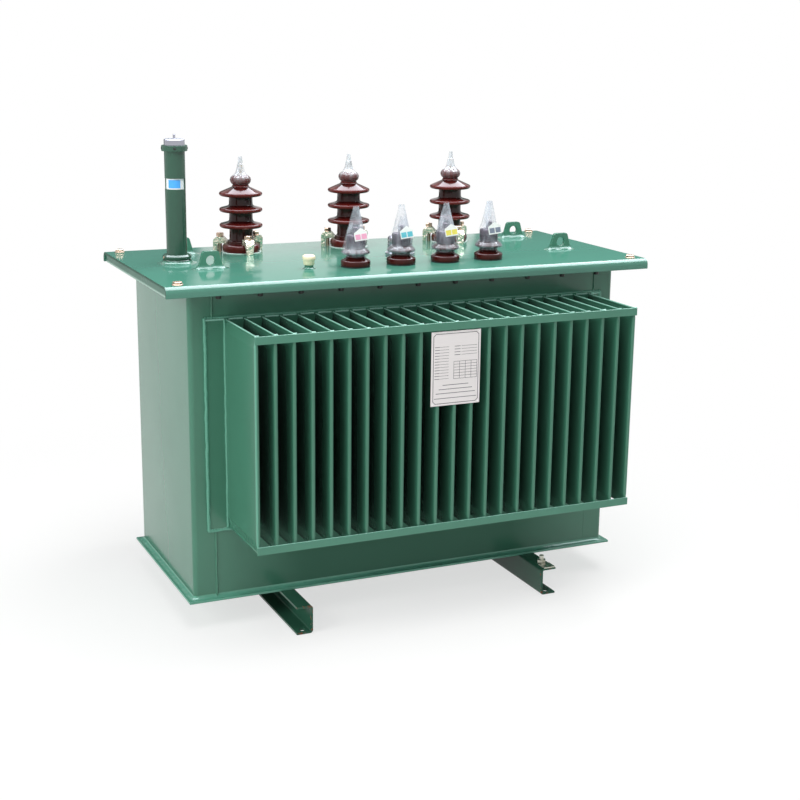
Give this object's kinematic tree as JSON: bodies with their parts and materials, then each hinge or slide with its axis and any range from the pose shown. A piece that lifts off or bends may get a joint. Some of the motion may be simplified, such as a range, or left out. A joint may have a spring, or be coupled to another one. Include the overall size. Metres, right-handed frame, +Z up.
{
  "type": "oil-immersed distribution transformer",
  "caption": "Sealed oil-immersed three-phase transformer: green welded tank on channels, corrugated fin walls, folded cover with capped porcelain bushings, lifting lugs and oil-level tube.",
  "frame": {"origin": "on the ground under the middle of the tank", "axes": "+X along the tank, -Y to the front (low-voltage side), +Z up"},
  "size_m": [1.294, 0.934, 1.181],
  "materials": {
    "green_paint": "gloss",
    "porcelain": "brown glaze",
    "zinc_plate": "zinc passivated",
    "plated_bolts": "yellow passivated",
    "brass": "satin",
    "clear_cap": "translucent soft cap",
    "rubber": "matte",
    "sight_tube": "clear with blue",
    "aluminium": "satin",
    "cream_plastic": "satin"
  },
  "bodies": {
    "root": {"base_channel_left": "green_paint", "base_channel_right": "green_paint", "base_plate": "green_paint", "earth_terminal": "zinc_plate", "left_end_wall": "green_paint", "right_end_wall": "green_paint", "front_upper_strip": "green_paint", "front_lower_strip": "green_paint", "back_upper_strip": "green_paint", "back_lower_strip": "green_paint", "front_fin_panel": "green_paint", "back_fin_panel": "green_paint", "front_fins": "green_paint", "back_fins": "green_paint", "front_fin_bars": "green_paint", "back_fin_bars": "green_paint", "nameplate": "aluminium", "tank_flange": "green_paint", "cover_gasket": "rubber", "cover": "green_paint", "cover_end_strips": "green_paint", "lug_front_left": "green_paint", "lug_front_right": "green_paint", "lug_back_left": "green_paint", "lug_back_right": "green_paint", "hv_bushing_left": "porcelain", "hv_bushing_middle": "porcelain", "hv_bushing_right": "porcelain", "hv_clamps": "zinc_plate", "hv_studs": "brass", "hv_caps": "clear_cap", "lv_bushing_1": "porcelain", "lv_bushing_2": "porcelain", "lv_bushing_3": "porcelain", "lv_bushing_4": "porcelain", "lv_seals": "rubber", "lv_terminals": "brass", "lv_caps": "clear_cap", "filler_foot": "green_paint", "filler_tube": "green_paint", "filler_sight_tube": "sight_tube", "filler_collar": "green_paint", "filler_cap": "aluminium", "pocket_neck": "green_paint", "pocket_cap": "cream_plastic", "pressure_relief_valve": "aluminium"}
  },
  "joints": []
}
